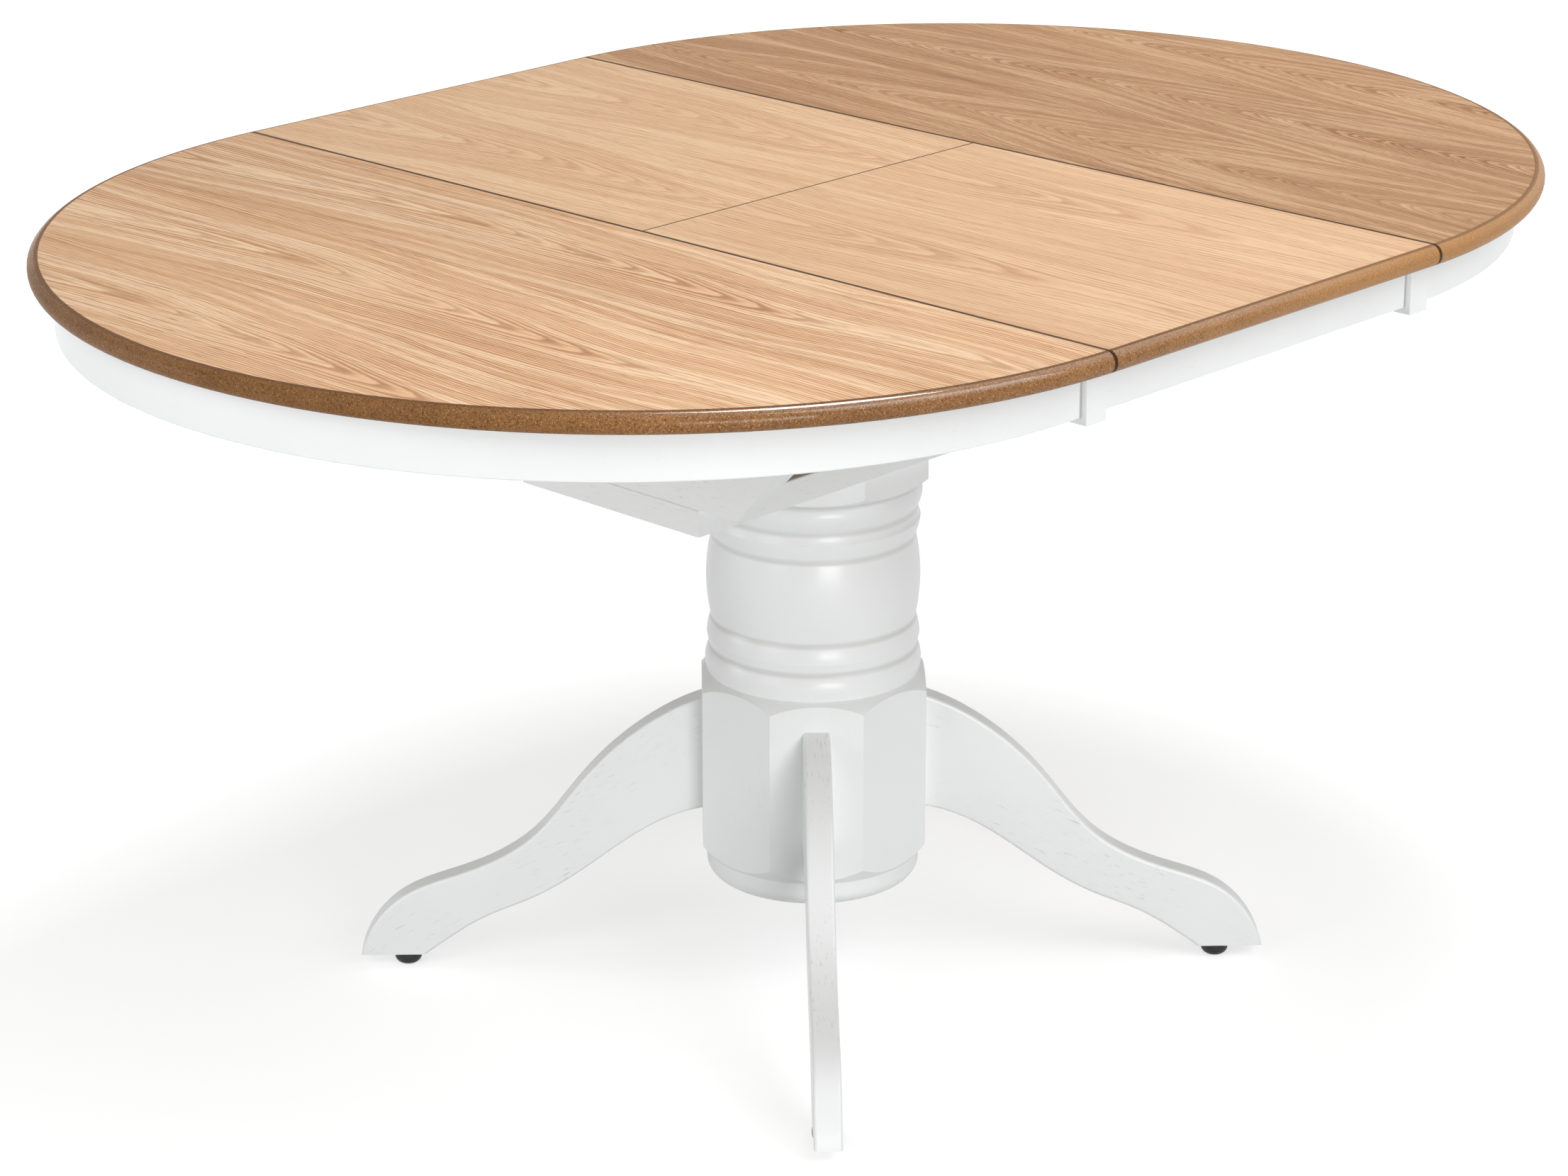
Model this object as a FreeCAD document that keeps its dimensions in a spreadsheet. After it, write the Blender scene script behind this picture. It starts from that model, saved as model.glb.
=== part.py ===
import FreeCAD, Part
import math
import os
import re

# Extending pedestal table: two half-round tops on geared slides, with a folding leaf between them.
# The table stands on z = 0 with the column's axis at the origin. X is its long axis, and each half
# top slides along X. The table is the same after a half turn about Z, so most pieces are made as
# twins: the second one is the first turned by 180 degrees.

SIZES = {
    # tops
    "top_height": (760, "floor to the top face"),
    "top_thickness": (19, "board thickness"),
    "top_radius": (530, "radius of a half top, and half the leaf's width"),
    "arc_inset": (6, "middle of a half top's arc past its seam, over the leaf"),
    "edge_round": (9.2, "radius of the rounded board edge"),
    "veneer_thickness": (0.6, "veneer let into the board"),
    "veneer_joint": (0.1, "joint round the veneer"),
    "leaf_half_length": (218, "half the leaf's length along X"),
    "seam_gap": (0.4, "gap at each seam"),
    # aprons
    "apron_height": (43, "apron below the top"),
    "apron_thickness": (18, "apron board"),
    "apron_inset": (35, "apron face in from the top's edge, at the seams"),
    "apron_straight": (12, "straight end of a bent apron, at the seam"),
    "apron_soften": (1.5, "rounded lower edge of an apron"),
    "block_length": (25, "end block along the apron"),
    "block_proud": (6, "end block beyond the apron's face and lower edge"),
    "block_depth": (30, "end block from front to back"),
    "block_soften": (1.2, "rounded edges of an end block"),
    # slides
    "rail_line": (300, "column's axis to the middle of a centre rail"),
    "rail_width": (18, "width of each rail"),
    "rail_height": (43, "height of a centre rail"),
    "rail_gap": (0.4, "running gap beside a rail"),
    "rail_lift": (1, "side rail's underside above the centre rail's"),
    "leaf_relief": (0.5, "side rail's top below the leaf"),
    "centre_rail_half": (330, "half length of a centre rail"),
    "side_rail_outer": (500, "outer end of a side rail"),
    "side_rail_inner": (80, "inner end of a side rail past the middle"),
    "tongue_depth": (5, "tongue on a centre rail's side"),
    "tongue_height": (8, "height of the tongue"),
    "tongue_level": (30, "tongue's underside above the centre rail's underside"),
    "tongue_play": (0.4, "gap round the tongue"),
    "gear_module": (2, "tooth size of racks and pinions"),
    "gear_teeth": (12, "teeth of a pinion"),
    "gear_backlash": (0.7, "width taken off each tooth"),
    "gear_width": (7, "height of the toothed parts"),
    "gear_level": (7, "rack's underside above the centre rail's underside"),
    "gear_play": (0.5, "gap above and below a pinion"),
    "rack_back": (3.5, "rack behind the tooth roots"),
    "rack_outer": (235, "rack's outer end from the middle"),
    "rack_inner": (75, "rack's inner end past the middle"),
    "pinion_pin_radius": (2.5, "pin of a pinion"),
    "pinion_pin_length": (20, "pin of a pinion"),
    "running_fit": (0.05, "radial clearance of a pin in its hole"),
    "screw_radius": (2, "screw shank"),
    "screw_head_radius": (4, "screw head"),
    "screw_head_height": (3, "screw head"),
    "screw_bite": (12, "screw in the top board"),
    "screw_first": (260, "first rail screw from the middle"),
    "screw_pitch": (95, "rail screw to rail screw"),
    "screw_play": (0.1, "hole wider than a screw, on the radius"),
    # leaf hinges and pivots
    "barrel_radius": (6, "concealed hinge barrel"),
    "barrel_length": (20, "barrel's depth in the board"),
    "barrel_pitch": (150, "barrel to barrel"),
    "pivot_line": (132, "leaf pivot from the middle"),
    "pivot_drop": (42, "leaf pivot below the top face"),
    "pivot_pin_radius": (4, "leaf pivot pin"),
    "pivot_plate": (3, "thickness of a pivot plate"),
    "pivot_plate_width": (36, "width of a pivot plate"),
    "pivot_plate_reach": (12, "pivot plate below its pin"),
    "pivot_inset": (4, "leaf's pivot plate in from the seam"),
    "pivot_foot": (30, "foot of the leaf's pivot plate"),
    # seam catches
    "catch_line": (400, "seam catch from the middle"),
    "catch_setback": (22, "lever pin back from the seam"),
    "catch_plate": (3, "thickness of the catch's sheet parts"),
    "catch_width": (16, "width of the lever"),
    "catch_reach": (40, "lever from its pin to its tip"),
    "catch_pin_radius": (3, "lever pin"),
    "catch_gap": (0.5, "gap above and below the lever"),
    "keeper_width": (26, "width of the keeper"),
    "keeper_length": (34, "length of the keeper"),
    "keeper_room": (1.5, "room round the lever in its keeper"),
    "keeper_inset": (1, "keeper in from the seam"),
    "catch_flange": (2, "flange that holds the lever, beyond its pin"),
    # stand's top frame
    "yoke_set_out": (24, "yoke's inner face beyond the end of the leaf"),
    "frame_half_width": (110, "half width of the top frame"),
    "frame_height": (25, "frame boards"),
    "frame_board": (20, "thickness of frame boards and yokes"),
    "frame_level": (516, "underside of the frame, on the column"),
    "frame_soften": (1.5, "rounded long edges of the frame boards"),
    "yoke_foot": (154, "half width of a yoke at the frame"),
    "yoke_past_rail": (11, "yoke's shoulder beyond the middle of a centre rail"),
    "ear_gap": (10.6, "gap between the yoke's upper part and the side rails beside it"),
    "yoke_clear": (5, "yoke's top below the tops"),
    "block_half": (100, "half length of the block over the column"),
    "column_bolt_radius": (5, "bolt from the block into the column"),
    "column_bolt_length": (110, "length of that bolt"),
    "column_bolt_spread": (62, "bolts from the axis, each way"),
    "column_bolt_head": (9, "radius of its head"),
    "column_bolt_head_height": (6, "height of its head"),
    # column, from the top down
    "column_foot": (120, "underside of the column"),
    "band_flat": (103.6, "axis to a face of the upper band"),
    "octagon_flat": (104, "axis to a face of the lower octagon"),
    "band_height": (29, "upper eight-sided band"),
    "band_bevel": (9, "height of the turned bevel under the band, at its corners"),
    "band_lip": (100.5, "radius at the foot of that bevel"),
    "bead_one": (24, "upper bead"),
    "cove_height": (13, "cove under the upper bead"),
    "quarter_one": (15, "quarter round under the cove"),
    "neck_height": (5, "neck over the long swelling"),
    "urn_height": (77.5, "long swelling"),
    "quarter_two": (17.5, "quarter round under the long swelling"),
    "slope_height": (11, "slope under the lower quarter round"),
    "bead_two": (24, "lower bead"),
    "shoulder_height": (14, "rounded shoulder of the lower octagon"),
    "bead_radius": (100.8, "largest radius of the beads"),
    "bead_end": (97, "radius at the upper end of each bead"),
    "cove_radius": (97.3, "radius at the middle of the cove"),
    "quarter_radius": (99.2, "radius at the thick end of the quarter rounds"),
    "quarter_middle": (98.1, "radius at the middle of the quarter rounds"),
    "urn_radius": (99.6, "largest radius of the long swelling"),
    "groove_radius": (95.4, "radius at the ends of the long swelling"),
    "shoulder_bulge": (1.5, "swelling of the rounded shoulder"),
    "foot_inset": (2.5, "column's foot in from its faces"),
    "foot_bevel": (15, "height of the turned bevel at the column's foot"),
    "disc_radius": (100, "base disc"),
    "disc_height": (25, "base disc"),
    "disc_round": (13, "rounded lower edge of the base disc"),
    # legs
    "leg_thickness": (25, "leg board"),
    "leg_soften": (3, "rounded leg edges"),
    "leg_root_top": (272, "top of a leg at the column"),
    "leg_root_bottom": (160, "underside of a leg at the column"),
    "leg_reach": (430, "axis to a leg's outer end"),
    "foot_length": (62, "flat sole of a leg"),
    "sole_height": (12, "sole above the floor"),
    "leg_bolt_radius": (4, "hanger bolt"),
    "leg_bolt_half": (45, "hanger bolt each side of the joint"),
    "leg_bolt_low": (190, "height of the lower hanger bolt"),
    "leg_bolt_high": (238, "height of the upper hanger bolt"),
    "glide_radius": (13, "glide at the sole"),
    "glide_round": (8, "rounded lower edge of a glide"),
    "glide_setback": (44, "glide's middle in from the leg's end"),
    "nail_radius": (1.6, "glide nail"),
    "nail_length": (24, "glide nail"),
    "nail_level": (4, "nail head above the floor"),
    # tools
    "over_cut": (1, "how far a cutter runs past the piece that it cuts"),
}

doc = FreeCAD.newDocument("extending_pedestal_table")
sheet = doc.addObject("Spreadsheet::Sheet", "Sizes")
for row, (alias, (value, note)) in enumerate(SIZES.items(), start=1):
    sheet.set(f"A{row}", note)
    sheet.set(f"B{row}", str(value))
    sheet.setAlias(f"B{row}", alias)
doc.recompute()

# Levels and lines that follow from the sizes, as formulas of the sheet's names.
UNDERSIDE = "(top_height - top_thickness)"
APRON_FOOT = f"({UNDERSIDE} - apron_height)"
APRON_FACE = "(top_radius - apron_inset)"
HALF_EDGE = "(leaf_half_length + seam_gap)"
RAIL_FOOT = f"({UNDERSIDE} - rail_height)"
RAIL_HALF = "(rail_width / 2)"
SIDE_FOOT = f"({RAIL_FOOT} + rail_lift)"
SIDE_NEAR = f"({RAIL_HALF} + rail_gap)"
SIDE_FAR = f"({SIDE_NEAR} + rail_width)"
PITCH_RADIUS = "(gear_module * gear_teeth / 2)"
RACK_FOOT = f"({RAIL_FOOT} + gear_level)"
FRAME_TOP = "(frame_level + frame_height)"
YOKE_INNER = "(leaf_half_length + yoke_set_out)"
FRAME_END = f"({YOKE_INNER} + frame_board)"
PIVOT_LEVEL = "(top_height - pivot_drop)"
LEVER_LINE = f"({HALF_EDGE} + catch_setback)"
LEVER_TOP = f"({UNDERSIDE} - catch_plate - catch_gap)"
DISC_FOOT = "(column_foot - disc_height)"
LEFT_SEAM = f"-{HALF_EDGE}"
ARC_MIDDLE = f"({LEFT_SEAM} + arc_inset)"
BEND_MIDDLE = f"({LEFT_SEAM} - apron_straight)"
# Middle of a half top's side rail, from its centre rail: outside it, or inside it.
OUTER = f"({SIDE_NEAR} + {SIDE_FAR}) / 2"
INNER = f"-({SIDE_NEAR} + {SIDE_FAR}) / 2"
SCREWS = [f"(screw_first + {index} * screw_pitch)" for index in range(3)]
BARRELS = [f"({index} * barrel_pitch)" for index in (-1, 0, 1)]
LEG_ANGLES = {"front": 225, "left": 135, "back": 45, "right": -45}
BOLT_LEVELS = ("leg_bolt_low", "leg_bolt_high")

# Gear teeth, as shares of the module, and the tooth's width at root and tip as shares of its middle.
TOOTH_TIP = 0.8
TOOTH_ROOT = 1.25
TOOTH_LEAN = math.tan(math.radians(20))
PINION_ROOT = 1.2
ROOT_WIDTH = 1.55
TIP_WIDTH = 0.42

# The turned blank's corners beyond the eight-sided column's.
BLANK_OVERSIZE = 1.01
# The column's mouldings from the band down: height, radius at the foot, and radius at the middle. A
# moulding with no radius at the middle is straight.
MOULDINGS = (
    ("bead_one", "bead_end", "bead_radius"),
    ("cove_height", "quarter_radius", "cove_radius"),
    ("quarter_one", "groove_radius", "quarter_middle"),
    ("neck_height", "groove_radius", None),
    ("urn_height", "groove_radius", "urn_radius"),
    ("quarter_two", "quarter_radius", "quarter_middle"),
    ("slope_height", "bead_end", None),
    ("bead_two", "quarter_radius", "bead_radius"),
)

X_AXIS = FreeCAD.Vector(1, 0, 0)
Y_AXIS = FreeCAD.Vector(0, 1, 0)
Z_AXIS = FreeCAD.Vector(0, 0, 1)

NODES = {}


def in_sheet(formula):
    """The formula with each size name pointing at its cell."""
    def cell(match):
        word = match.group(0)
        return "Sizes." + word if word in SIZES else word
    return re.sub(r"[a-z][a-z_]*", cell, str(formula))


def number(formula):
    """The formula's value, for shapes that are set by Part's own functions."""
    values = {alias: float(sheet.get(alias)) for alias in SIZES}
    return float(FreeCAD.Units.Quantity(re.sub(
        r"[a-z][a-z_]*", lambda match: repr(values[match.group(0)]), str(formula))).Value)


def bind(obj, **formulas):
    for name, formula in formulas.items():
        obj.setExpression(name, in_sheet(formula))


def place(obj, x, y, z, turned=False, spin=FreeCAD.Rotation()):
    """Put obj at x, y, z. A turned twin goes half a turn round the column's axis."""
    twin = FreeCAD.Rotation(Z_AXIS, 180 if turned else 0)
    obj.Placement = FreeCAD.Placement(FreeCAD.Vector(), twin.multiply(spin))
    sign = "-" if turned else ""
    obj.setExpression("Placement.Base.x", in_sheet(f"{sign}({x})"))
    obj.setExpression("Placement.Base.y", in_sheet(f"{sign}({y})"))
    obj.setExpression("Placement.Base.z", in_sheet(z))
    return obj


def box(name, x, y, z, turned=False):
    """A block between the pairs of formulas x, y and z."""
    obj = doc.addObject("Part::Box", name)
    bind(obj, Length=f"({x[1]}) - ({x[0]})", Width=f"({y[1]}) - ({y[0]})", Height=f"({z[1]}) - ({z[0]})")
    return place(obj, x[0], y[0], z[0], turned)


def rod(name, centre, radius, length, axis=Z_AXIS, sweep=360, start=0, turned=False):
    """A cylinder from centre along an axis. A part sweep starts at the angle start round Z."""
    obj = doc.addObject("Part::Cylinder", name)
    bind(obj, Radius=radius, Height=length)
    obj.Angle = sweep
    spin = FreeCAD.Rotation(Z_AXIS, start) if axis is Z_AXIS else FreeCAD.Rotation(Z_AXIS, axis)
    return place(obj, *centre, turned, spin)


def cut(name, base, *tools):
    obj = doc.addObject("Part::Cut", name)
    obj.Base = base
    obj.Tool = tools[0] if len(tools) == 1 else fuse(name + "_tools", *tools)
    return obj


def fuse(name, *parts):
    obj = doc.addObject("Part::MultiFuse", name)
    obj.Shapes = list(parts)
    return obj


def group(name, parts):
    """Separate solids that share a node."""
    obj = doc.addObject("Part::Compound", name)
    obj.Links = list(parts)
    return obj


def soften(name, base, radius, wanted):
    """Round those edges of base that wanted says yes to."""
    doc.recompute()
    obj = doc.addObject("Part::Fillet", name)
    obj.Base = base
    size = number(radius)
    obj.Edges = [(index, size, size) for index, edge in enumerate(base.Shape.Edges, start=1) if wanted(edge)]
    return obj


def solid(name, shape):
    obj = doc.addObject("Part::Feature", name)
    obj.Shape = shape
    return obj


def node(obj, name):
    """Make obj one of the table's sub-parts."""
    obj.Label = name
    NODES[name] = obj
    return obj


def middle(edge):
    return edge.valueAt((edge.FirstParameter + edge.LastParameter) / 2)


def is_round(edge):
    return isinstance(edge.Curve, Part.Circle)


def along(edge, axis):
    if not isinstance(edge.Curve, Part.Line):
        return False
    return abs(abs(edge.tangentAt(edge.FirstParameter).dot(axis)) - 1) < 1e-6


def rail_line(side, offset):
    """Y of a line beside the centre rail on the near (-1) or far (1) side, offset outwards."""
    return f"({side} * (rail_line + ({offset})))"


def ordered(a, b):
    return (a, b) if number(a) < number(b) else (b, a)


# ---- half tops ----

def screw_holes(name, side, offset, turned):
    """Shank holes and head recesses for one side rail's screws, through rail and board."""
    reach = f"{UNDERSIDE} - {SIDE_FOOT} + screw_bite"
    tools = []
    for index, distance in enumerate(SCREWS):
        foot = (f"-{distance}", rail_line(side, offset), SIDE_FOOT)
        tools.append(rod(f"{name}_hole_{index}", foot, "screw_radius + screw_play", reach, turned=turned))
        tools.append(rod(f"{name}_recess_{index}", foot, "screw_head_radius + screw_play",
                         "screw_head_height + screw_play", turned=turned))
    return tools


def half_top(hand, turned):
    """A board and its veneer, a little less than a half disc each, cut off straight at the seam."""
    veneer_foot = "top_height - veneer_thickness"
    blank = rod(f"{hand}_blank", (ARC_MIDDLE, 0, UNDERSIDE), "top_radius", "top_thickness",
                sweep=180, start=90, turned=turned)
    board = soften(f"{hand}_board", blank, "edge_round", is_round)
    recess = rod(f"{hand}_recess", (ARC_MIDDLE, 0, veneer_foot), "top_radius - edge_round",
                 "veneer_thickness + over_cut", sweep=180, start=90, turned=turned)
    leaf_room = box(f"{hand}_leaf_room", (LEFT_SEAM, f"{ARC_MIDDLE} + over_cut"),
                    ("-top_radius - over_cut", "top_radius + over_cut"),
                    (f"{UNDERSIDE} - over_cut", "top_height + over_cut"), turned)
    tools = [recess, leaf_room]
    tools += screw_holes(f"{hand}_board_outer", -1, OUTER, turned)
    tools += screw_holes(f"{hand}_board_inner", 1, INNER, turned)
    node(cut(f"{hand}_core", board, *tools), f"half_top_{hand}")
    sheet_blank = rod(f"{hand}_veneer_blank", (ARC_MIDDLE, 0, veneer_foot),
                      "top_radius - edge_round - veneer_joint", "veneer_thickness",
                      sweep=180, start=90, turned=turned)
    node(cut(f"{hand}_veneer", sheet_blank, leaf_room), f"veneer_{hand}")


def bent_plate(name, radius, end, turned):
    """A half disc with straight sides from the bend's middle to end, as high as an apron."""
    bend = rod(f"{name}_bend", (BEND_MIDDLE, 0, APRON_FOOT), radius, "apron_height",
               sweep=180, start=90, turned=turned)
    straight = box(f"{name}_straight", (BEND_MIDDLE, end), (f"-({radius})", radius), (APRON_FOOT, UNDERSIDE),
                   turned)
    plate = fuse(name, bend, straight)
    plate.Refine = True
    return plate


def half_apron(hand, turned):
    outside = bent_plate(f"{hand}_apron_outside", APRON_FACE, LEFT_SEAM, turned)
    hollow = bent_plate(f"{hand}_apron_hollow", f"{APRON_FACE} - apron_thickness", f"{LEFT_SEAM} + over_cut",
                        turned)
    # The end block takes the apron's last stretch, on the far side of the left half.
    x = (f"{LEFT_SEAM} - block_length", LEFT_SEAM)
    y = (f"{APRON_FACE} + block_proud - block_depth", f"{APRON_FACE} + block_proud")
    z = (f"{APRON_FOOT} - block_proud", UNDERSIDE)
    room = box(f"{hand}_block_room", (x[0], f"{x[1]} + over_cut"), y, (z[0], f"{z[1]} + over_cut"), turned)
    bent = cut(f"{hand}_apron_bent", outside, hollow, room)
    foot = number(APRON_FOOT)
    apron = soften(f"{hand}_apron_soft", bent, "apron_soften",
                   lambda edge: is_round(edge) and abs(middle(edge).z - foot) < 0.01)
    node(apron, f"apron_{hand}")
    block = box(f"{hand}_block", x, y, z, turned)
    top = number(UNDERSIDE)
    node(soften(f"{hand}_block_soft", block, "block_soften", lambda edge: middle(edge).z < top - 0.01),
         f"apron_end_block_{hand}")


# ---- leaf ----

def leaf_panel(place_name, turned):
    """One of the leaf's two boards, from the middle seam outwards to -Y."""
    x = ("-leaf_half_length", "leaf_half_length")
    y = ("-top_radius", "-seam_gap / 2")
    blank = box(f"{place_name}_blank", x, y, (UNDERSIDE, "top_height"), turned)
    outer = number("top_radius")
    barrels = []
    board = soften(f"{place_name}_board", blank, "edge_round",
                   lambda edge: along(edge, X_AXIS) and abs(abs(middle(edge).y) - outer) < 0.01)
    tools = [box(f"{place_name}_recess", (f"{x[0]} - over_cut", f"{x[1]} + over_cut"),
                 ("-top_radius + edge_round", f"{y[1]} + over_cut"),
                 ("top_height - veneer_thickness", "top_height + over_cut"), turned)]
    for index, distance in enumerate(BARRELS):
        end = (distance, f"{y[1]} - barrel_length", f"{UNDERSIDE} + top_thickness / 2")
        tools.append(rod(f"{place_name}_barrel_hole_{index}", end, "barrel_radius + screw_play",
                         "barrel_length + over_cut", Y_AXIS, turned=turned))
        barrels.append(rod(f"{place_name}_barrel_{index}", end, "barrel_radius", "barrel_length", Y_AXIS,
                           turned=turned))
    node(cut(f"{place_name}_core", board, *tools), f"leaf_panel_{place_name}")
    veneer = box(f"{place_name}_veneer", x, ("-top_radius + edge_round + veneer_joint", y[1]),
                 ("top_height - veneer_thickness", "top_height"), turned)
    node(veneer, f"leaf_veneer_{place_name}")
    node(group(f"{place_name}_barrels", barrels), f"hinge_barrels_{place_name}")


def leaf_apron(place_name, turned):
    y = (f"-{APRON_FACE}", f"-{APRON_FACE} + apron_thickness")
    board = box(f"{place_name}_apron", ("-leaf_half_length + block_length", "leaf_half_length"), y,
                (APRON_FOOT, UNDERSIDE), turned)
    foot = number(APRON_FOOT)
    node(soften(f"{place_name}_apron_soft", board, "apron_soften",
                lambda edge: along(edge, X_AXIS) and abs(middle(edge).z - foot) < 0.01),
         f"leaf_apron_{place_name}")
    block = box(f"{place_name}_block", ("-leaf_half_length", "-leaf_half_length + block_length"),
                (f"-{APRON_FACE} - block_proud", f"-{APRON_FACE} - block_proud + block_depth"),
                (f"{APRON_FOOT} - block_proud", UNDERSIDE), turned)
    top = number(UNDERSIDE)
    node(soften(f"{place_name}_block_soft", block, "block_soften", lambda edge: middle(edge).z < top - 0.01),
         f"leaf_end_block_{place_name}")


# ---- slides ----

def centre_rail(place_name, turned):
    x = ("-centre_rail_half", "centre_rail_half")
    beam = box(f"{place_name}_beam", x, (f"-rail_line - {RAIL_HALF}", f"-rail_line + {RAIL_HALF}"),
               (RAIL_FOOT, UNDERSIDE), turned)
    tongue = box(f"{place_name}_tongue", x, (f"-rail_line - {RAIL_HALF} - tongue_depth",
                                             f"-rail_line + {RAIL_HALF} + tongue_depth"),
                 (f"{RAIL_FOOT} + tongue_level", f"{RAIL_FOOT} + tongue_level + tongue_height"), turned)
    reach = f"({PITCH_RADIUS} + 2 * gear_module)"
    slot = box(f"{place_name}_slot", (f"-{reach}", reach),
               (f"-rail_line - {RAIL_HALF} - over_cut", f"-rail_line + {RAIL_HALF} + over_cut"),
               (f"{RACK_FOOT} - gear_play", f"{RACK_FOOT} + gear_width + gear_play"), turned)
    hole = rod(f"{place_name}_pin_hole", (0, "-rail_line", RAIL_FOOT), "pinion_pin_radius + running_fit",
               "pinion_pin_length", turned=turned)
    rail = cut(f"{place_name}_rail", fuse(f"{place_name}_rail_blank", beam, tongue), slot, hole)
    node(rail, f"centre_rail_{place_name}")
    return rod(f"{place_name}_pin", (0, "-rail_line", RAIL_FOOT), "pinion_pin_radius", "pinion_pin_length",
               turned=turned)


def side_rail(hand, place_name, side, outer, turned):
    """A rail of the half top, with side -1 or 1 in Y before a twin's half turn."""
    near, far = (SIDE_NEAR, SIDE_FAR) if outer else (f"-{SIDE_FAR}", f"-{SIDE_NEAR}")
    name = f"{hand}_{place_name}"
    y = ordered(rail_line(side, near), rail_line(side, far))
    beam = box(f"{name}_beam", ("-side_rail_outer", "side_rail_inner"), y, (SIDE_FOOT, UNDERSIDE), turned)
    relief = box(f"{name}_relief", (LEFT_SEAM, "side_rail_inner + over_cut"), y,
                 (f"{UNDERSIDE} - leaf_relief", f"{UNDERSIDE} + over_cut"), turned)
    sign = "" if outer else "-"
    depths = {"tongue": f"({RAIL_HALF} + tongue_depth + tongue_play)",
              "rack": f"({PITCH_RADIUS} + {TOOTH_ROOT} * gear_module + rack_back)"}
    levels = {"tongue": (f"{RAIL_FOOT} + tongue_level - tongue_play",
                         f"{RAIL_FOOT} + tongue_level + tongue_height + tongue_play"),
              "rack": (RACK_FOOT, f"{RACK_FOOT} + gear_width")}
    tools = [relief]
    for kind, depth in depths.items():
        start = "-side_rail_outer - over_cut" if kind == "tongue" else "-rack_outer"
        stretch = ordered(rail_line(side, f"{sign}{RAIL_HALF}"), rail_line(side, f"{sign}{depth}"))
        tools.append(box(f"{name}_{kind}_groove", (start, "side_rail_inner + over_cut"), stretch, levels[kind],
                         turned))
    tools += screw_holes(name, side, OUTER if outer else INNER, turned)
    node(cut(f"{name}_rail", beam, *tools), f"{hand}_rail_{place_name}")


def rack_shape():
    """A rack along X with its teeth towards -Y, its pitch line at the pinion's pitch radius."""
    module = number("gear_module")
    pitch = math.pi * module
    half = pitch / 4 - number("gear_backlash") / 2
    lean = TOOTH_LEAN * module
    line = number(PITCH_RADIUS)
    tip = line - TOOTH_TIP * module
    root = line + TOOTH_ROOT * module
    first = -math.floor(number("rack_outer") / pitch) + 1
    last = math.floor(number("rack_inner") / pitch) - 1
    points = [(-number("rack_outer"), root)]
    for index in range(first, last + 1):
        centre = index * pitch
        points += [(centre - half - TOOTH_ROOT * lean, root), (centre - half + TOOTH_TIP * lean, tip),
                   (centre + half - TOOTH_TIP * lean, tip), (centre + half + TOOTH_ROOT * lean, root)]
    back = root + number("rack_back")
    points += [(number("rack_inner"), root), (number("rack_inner"), back), (-number("rack_outer"), back)]
    wire = Part.makePolygon([FreeCAD.Vector(x, y, 0) for x, y in points + points[:1]])
    return Part.Face(wire).extrude(FreeCAD.Vector(0, 0, number("gear_width")))


def pinion_shape():
    """A pinion round Z whose tooth space meets a rack tooth at +Y and at -Y."""
    module = number("gear_module")
    count = int(number("gear_teeth"))
    pitch_radius = number(PITCH_RADIUS)
    half = (math.pi * module / 4 - number("gear_backlash") / 2) / pitch_radius
    steps = [(pitch_radius - PINION_ROOT * module, ROOT_WIDTH), (pitch_radius, 1.0),
             (pitch_radius + TOOTH_TIP * module, TIP_WIDTH)]
    points = []
    for index in range(count):
        centre = math.pi / 2 + (index + 0.5) * 2 * math.pi / count
        for radius, share in steps:
            points.append((radius, centre - half * share))
        for radius, share in reversed(steps):
            points.append((radius, centre + half * share))
    corners = [FreeCAD.Vector(radius * math.cos(angle), radius * math.sin(angle), 0)
               for radius, angle in points]
    play = number("gear_play")
    height = number("gear_width") - 2 * play
    disc = Part.Face(Part.makePolygon(corners + corners[:1])).extrude(FreeCAD.Vector(0, 0, height))
    bore = Part.makeCylinder(number("pinion_pin_radius + running_fit"), height)
    return disc.cut(bore)


def rack(hand, place_name, side, outer, turned):
    obj = solid(f"{hand}_{place_name}_rack", rack_shape())
    away = side if outer else -side
    # The rack's teeth face its pinion, so a rack on the -Y side is flipped about its own length.
    spin = FreeCAD.Rotation(X_AXIS, 0 if away > 0 else 180)
    twin = FreeCAD.Rotation(Z_AXIS, 180 if turned else 0)
    foot = number(RACK_FOOT) + (0 if away > 0 else number("gear_width"))
    base = FreeCAD.Vector(0, side * number("rail_line") * (-1 if turned else 1), foot)
    obj.Placement = FreeCAD.Placement(base, twin.multiply(spin))
    node(obj, f"{hand}_rack_{place_name}")


def rail_screws(hand, turned):
    screws = []
    for place_name, side, offset in (("one", -1, OUTER), ("two", 1, INNER)):
        for index, distance in enumerate(SCREWS):
            name = f"{hand}_screw_{place_name}_{index}"
            foot = (f"-{distance}", rail_line(side, offset), SIDE_FOOT)
            shank = rod(f"{name}_shank", foot, "screw_radius", f"{UNDERSIDE} - {SIDE_FOOT} + screw_bite",
                        turned=turned)
            head = rod(f"{name}_head", foot, "screw_head_radius", "screw_head_height", turned=turned)
            screws.append(fuse(name, shank, head))
    node(group(f"{hand}_screws", screws), f"rail_screws_{hand}")


# ---- leaf pivots ----

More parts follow.
